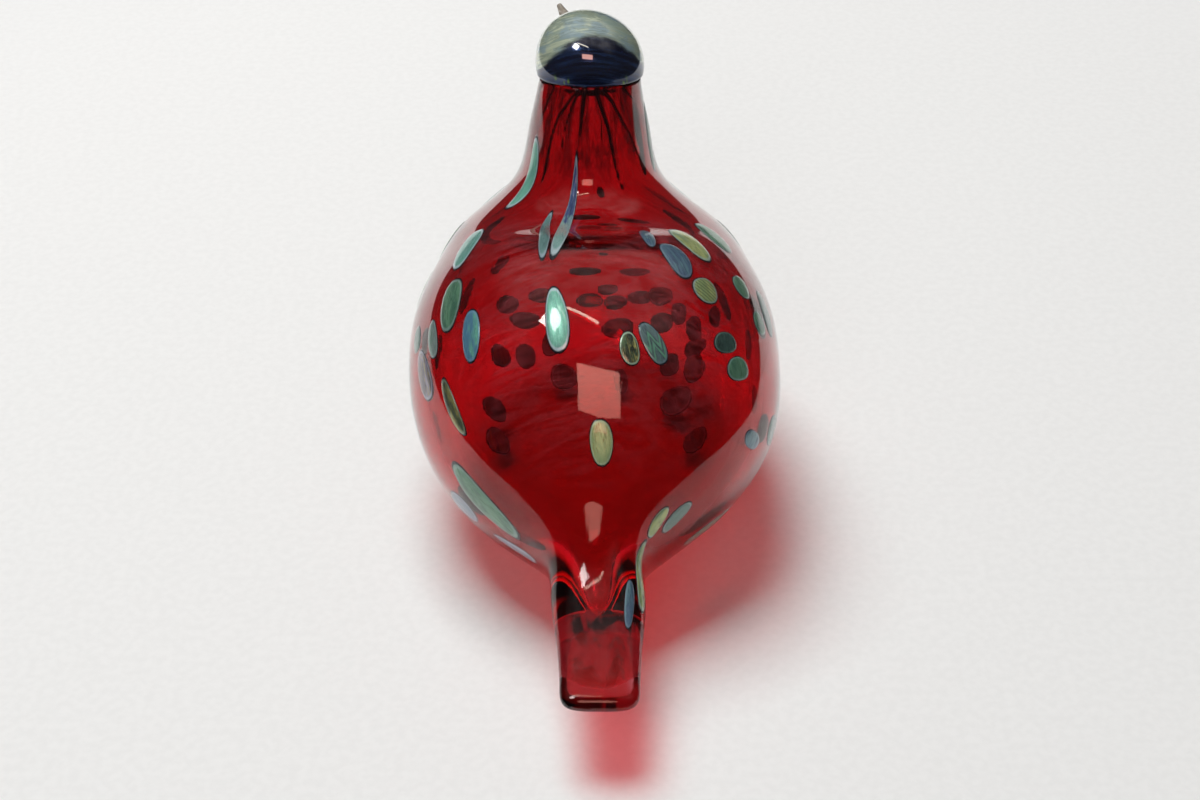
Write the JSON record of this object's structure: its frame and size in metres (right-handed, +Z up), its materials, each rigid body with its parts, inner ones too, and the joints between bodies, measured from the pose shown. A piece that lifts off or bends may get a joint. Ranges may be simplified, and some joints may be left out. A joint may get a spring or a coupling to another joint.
{
  "type": "glass bird figurine",
  "caption": "Blown glass bird at rest with a rounded body, raised neck, cap-like head, short beak and flat tail, with oval spots in its skin.",
  "frame": {"origin": "on the ground flat under the belly, which is the foot that it rests on", "axes": "+Z up, -Y the way the bird faces, +X its left"},
  "size_m": [0.1092, 0.194, 0.1361],
  "materials": {
    "clear_glass": "clear, fire polished",
    "ruby_glass": "deep transparent red",
    "head_glass": "lustred dark blue with silver streaks",
    "beak_glass": "brown, fire polished",
    "spot_teal": "lustred teal",
    "spot_green": "lustred green",
    "spot_moss": "lustred yellow green",
    "spot_blue": "lustred blue",
    "spot_grey": "lustred silver grey",
    "spot_lilac": "lustred pale lilac",
    "spot_violet": "lustred violet and silver",
    "spot_bronze": "lustred dark bronze"
  },
  "bodies": {
    "root": {"glass_casing": "clear_glass", "ruby_lining": "ruby_glass", "head_gather": "head_glass", "beak": "beak_glass", "spot_01": "spot_teal", "spot_02": "spot_teal", "spot_03": "spot_grey", "spot_04": "spot_teal", "spot_05": "spot_green", "spot_06": "spot_grey", "spot_07": "spot_blue", "spot_08": "spot_teal", "spot_09": "spot_grey", "spot_10": "spot_violet", "spot_11": "spot_bronze", "spot_12": "spot_green", "spot_13": "spot_lilac", "spot_14": "spot_lilac", "spot_15": "spot_moss", "spot_16": "spot_bronze", "spot_17": "spot_teal", "spot_18": "spot_blue", "spot_19": "spot_blue", "spot_20": "spot_moss", "spot_21": "spot_moss", "spot_22": "spot_green", "spot_23": "spot_green", "spot_24": "spot_green", "spot_25": "spot_grey", "spot_26": "spot_green", "spot_27": "spot_green", "spot_28": "spot_blue", "spot_29": "spot_grey", "spot_30": "spot_green", "spot_31": "spot_moss", "spot_32": "spot_blue", "spot_33": "spot_grey", "spot_34": "spot_green", "spot_35": "spot_grey", "spot_36": "spot_teal", "spot_37": "spot_green", "spot_38": "spot_teal", "spot_39": "spot_moss", "spot_40": "spot_green", "spot_41": "spot_grey", "spot_42": "spot_teal", "spot_43": "spot_green", "spot_44": "spot_moss", "spot_45": "spot_teal", "spot_46": "spot_green", "spot_47": "spot_grey", "spot_48": "spot_teal", "spot_49": "spot_green", "spot_50": "spot_blue", "spot_51": "spot_moss", "spot_52": "spot_teal", "spot_53": "spot_lilac", "spot_54": "spot_green", "spot_55": "spot_grey", "spot_56": "spot_teal"}
  },
  "joints": []
}
